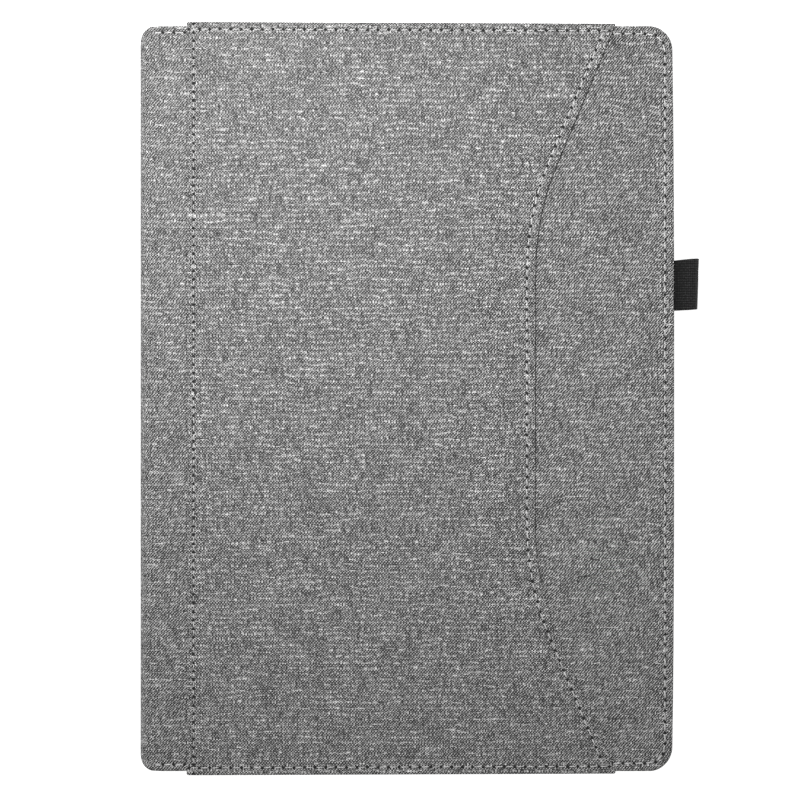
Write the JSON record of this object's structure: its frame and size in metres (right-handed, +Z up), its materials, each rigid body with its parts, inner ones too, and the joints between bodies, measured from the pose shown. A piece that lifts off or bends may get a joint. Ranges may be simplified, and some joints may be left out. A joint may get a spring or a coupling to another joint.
{
  "type": "tablet keyboard case",
  "caption": "Fabric folio case for a tablet with a keyboard inside the front cover, a document pocket, a pen loop and a folding stand.",
  "frame": {"origin": "centre of the closed case's bounding box, on the underside of the back cover", "axes": "+Z up out of the front cover, +Y along the spine, +X from the spine towards the opening edge"},
  "size_m": [0.23, 0.31, 0.0271],
  "materials": {
    "cover_fabric": "heathered woven fabric",
    "lining_fabric": "fine suede-like lining",
    "cover_board": "plain pressed board",
    "elastic": "ribbed elastic webbing",
    "tray_plastic": "fine moulded texture",
    "soft_rubber": "matt",
    "key_plastic": "satin",
    "switch_plastic": "satin",
    "keyboard_shell": "dark anodised, fine blasted",
    "touchpad_surface": "smooth satin",
    "magnet": "nickel plated",
    "port_metal": "drawn",
    "dome_rubber": "translucent",
    "circuit": "solder-masked board",
    "battery_pouch": "foil pouch",
    "light_lens": "frosted"
  },
  "bodies": {
    "back_cover": {"back_fabric": "cover_fabric", "back_board": "cover_board", "back_lining": "lining_fabric", "foot_grip": "soft_rubber", "tray_hinge_flap": "lining_fabric", "back_magnet_left": "magnet", "back_magnet_right": "magnet"},
    "spine": {"spine_fabric": "cover_fabric", "spine_board": "cover_board", "spine_lining": "lining_fabric"},
    "front_cover": {"front_fabric": "cover_fabric", "front_board": "cover_board", "front_lining": "lining_fabric", "pocket_lining": "lining_fabric", "pocket_panel": "cover_fabric", "pen_loop": "elastic", "front_magnet_left": "magnet", "front_magnet_right": "magnet", "keyboard_frame": "keyboard_shell", "keyboard_base": "keyboard_shell", "dome_sheet": "dome_rubber", "circuit_sheet": "circuit", "battery": "battery_pouch", "controller_board": "circuit", "charge_port": "port_metal", "status_light": "light_lens", "screen_bumper_left": "soft_rubber", "screen_bumper_right": "soft_rubber"},
    "tablet_tray": {"tray_shell": "tray_plastic", "tray_bed": "lining_fabric", "corner_hook_near_left": "soft_rubber", "corner_hook_near_right": "soft_rubber", "corner_hook_far_left": "soft_rubber", "corner_hook_far_right": "soft_rubber", "tray_hinge_strip": "lining_fabric", "leg_hinge_strip": "lining_fabric"},
    "prop_leg": {"leg_board": "lining_fabric", "leg_foot": "soft_rubber"},
    "touchpad": {"touchpad": "touchpad_surface"},
    "power_switch": {"power_switch": "switch_plastic"},
    "function_key_row": {"function_key_row": "key_plastic"},
    "number_key_row": {"number_key_row": "key_plastic"},
    "upper_key_row": {"upper_key_row": "key_plastic"},
    "home_key_row": {"home_key_row": "key_plastic"},
    "lower_key_row": {"lower_key_row": "key_plastic"},
    "left_modifier_keys": {"left_modifier_keys": "key_plastic"},
    "space_bar": {"space_bar": "key_plastic"},
    "right_modifier_keys": {"right_modifier_keys": "key_plastic"}
  },
  "joints": [
    {"name": "spine_fold", "type": "hinge", "parent": "back_cover", "child": "spine", "pos_m": [-0.11393, 0, 0.00107], "axis": [0, -1, 0], "range_deg": [0, 90]},
    {"name": "cover_fold", "type": "hinge", "parent": "spine", "child": "front_cover", "pos_m": [-0.11393, 0, 0.02383], "axis": [0, -1, 0], "range_deg": [0, 90]},
    {"name": "tray_tilt", "type": "hinge", "parent": "back_cover", "child": "tablet_tray", "pos_m": [-0.104, 0, 0.0041], "axis": [0, -1, 0], "range_deg": [0, 62]},
    {"name": "leg_fold", "type": "hinge", "parent": "tablet_tray", "child": "prop_leg", "pos_m": [-0.004, 0, 0.0041], "axis": [0, 1, 0], "range_deg": [0, 124]},
    {"name": "function_key_row_press", "type": "slide", "parent": "front_cover", "child": "function_key_row", "axis": [0, 0, 1], "range_m": [0, 0.001], "stiffness_N_per_m": 500, "springref_m": -0.001},
    {"name": "number_key_row_press", "type": "slide", "parent": "front_cover", "child": "number_key_row", "axis": [0, 0, 1], "range_m": [0, 0.001], "stiffness_N_per_m": 500, "springref_m": -0.001},
    {"name": "upper_key_row_press", "type": "slide", "parent": "front_cover", "child": "upper_key_row", "axis": [0, 0, 1], "range_m": [0, 0.001], "stiffness_N_per_m": 500, "springref_m": -0.001},
    {"name": "home_key_row_press", "type": "slide", "parent": "front_cover", "child": "home_key_row", "axis": [0, 0, 1], "range_m": [0, 0.001], "stiffness_N_per_m": 500, "springref_m": -0.001},
    {"name": "lower_key_row_press", "type": "slide", "parent": "front_cover", "child": "lower_key_row", "axis": [0, 0, 1], "range_m": [0, 0.001], "stiffness_N_per_m": 500, "springref_m": -0.001},
    {"name": "left_modifier_keys_press", "type": "slide", "parent": "front_cover", "child": "left_modifier_keys", "axis": [0, 0, 1], "range_m": [0, 0.001], "stiffness_N_per_m": 500, "springref_m": -0.001},
    {"name": "space_bar_press", "type": "slide", "parent": "front_cover", "child": "space_bar", "axis": [0, 0, 1], "range_m": [0, 0.001], "stiffness_N_per_m": 500, "springref_m": -0.001},
    {"name": "right_modifier_keys_press", "type": "slide", "parent": "front_cover", "child": "right_modifier_keys", "axis": [0, 0, 1], "range_m": [0, 0.001], "stiffness_N_per_m": 500, "springref_m": -0.001},
    {"name": "touchpad_click", "type": "slide", "parent": "front_cover", "child": "touchpad", "axis": [0, 0, 1], "range_m": [0, 0.0003], "stiffness_N_per_m": 1500, "springref_m": -0.0004},
    {"name": "power_switch_slide", "type": "slide", "parent": "front_cover", "child": "power_switch", "axis": [1, 0, 0], "range_m": [0, 0.0025]}
  ],
  "couplings": [
    {"joint": "tray_tilt", "follows": "spine_fold", "ratio": 0.6888},
    {"joint": "leg_fold", "follows": "spine_fold", "ratio": 1.3776}
  ]
}
